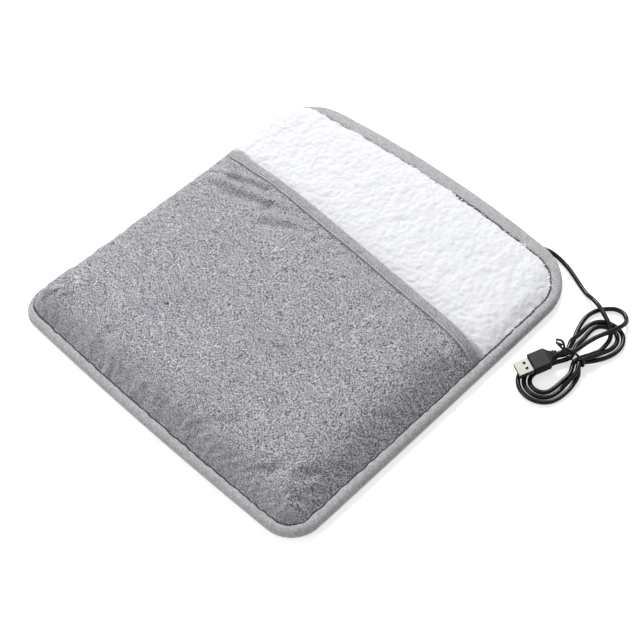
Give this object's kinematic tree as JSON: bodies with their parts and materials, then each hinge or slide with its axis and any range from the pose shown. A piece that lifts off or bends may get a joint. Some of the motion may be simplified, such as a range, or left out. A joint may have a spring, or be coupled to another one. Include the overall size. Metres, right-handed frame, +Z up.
{
  "type": "heated fleece pad with pocket",
  "caption": "Flat heated fleece pad with a sewn pocket for hands or feet, a bound edge, an inner wire heater and a tied lead with a flat plug.",
  "frame": {"origin": "on the surface the pad lies on, under the middle of the pad without its cord", "axes": "+Z up, +X along the closed end of the pocket, +Y from the closed end towards the open end with the cord"},
  "size_m": [0.3693, 0.332, 0.0284],
  "materials": {
    "plush": "brushed short pile",
    "tape": "smooth velour tape",
    "sherpa": "curled fleece",
    "wadding": "soft fibre wadding",
    "felt": "thin felt",
    "heating_wire": "insulated wire, satin",
    "core_red": "insulated core, satin",
    "core_black": "insulated core, satin",
    "cord": "satin jacket",
    "plug_black": "fine matte moulding",
    "tie": "coated wire, satin",
    "plated_steel": "plated sheet, satin",
    "brass": "plated contact metal",
    "insulator": "pale moulded insulator",
    "tongue": "pale moulded tongue"
  },
  "bodies": {
    "pad": {"back_cover": "plush", "back_wadding": "wadding", "heater_carrier": "felt", "heater_cover": "felt", "heating_wire": "heating_wire", "sherpa_lining": "sherpa", "pocket_lining": "sherpa", "pocket_wadding": "wadding", "pocket_front": "plush", "mouth_binding": "tape", "edge_binding": "tape", "crimp_sleeve_1": "plated_steel", "crimp_sleeve_2": "plated_steel", "link_wire": "core_red", "core_red": "core_red", "core_black": "core_black", "thermostat_case": "plated_steel", "thermostat_plug": "insulator", "thermostat_fixed_terminal": "brass", "thermostat_moving_terminal": "brass", "cord_stop_sleeve": "core_black", "cord_tail": "cord", "usb_lead": "cord", "usb_hank": "cord", "twist_tie": "tie", "usb_grip": "plug_black", "usb_shell": "plated_steel", "usb_tongue": "tongue", "usb_contact_1": "brass", "usb_contact_2": "brass", "usb_contact_3": "brass", "usb_contact_4": "brass"},
    "cut_out_arm": {"bimetal_arm": "brass"}
  },
  "joints": [
    {"name": "cut_out_arm_hinge", "type": "hinge", "parent": "pad", "child": "cut_out_arm", "pos_m": [0.08287, 0.10505, 0.00355], "axis": [-1, 0, 0], "range_deg": [0, 5], "stiffness_Nm_per_rad": 0.0001, "springref_deg": -5.73}
  ]
}
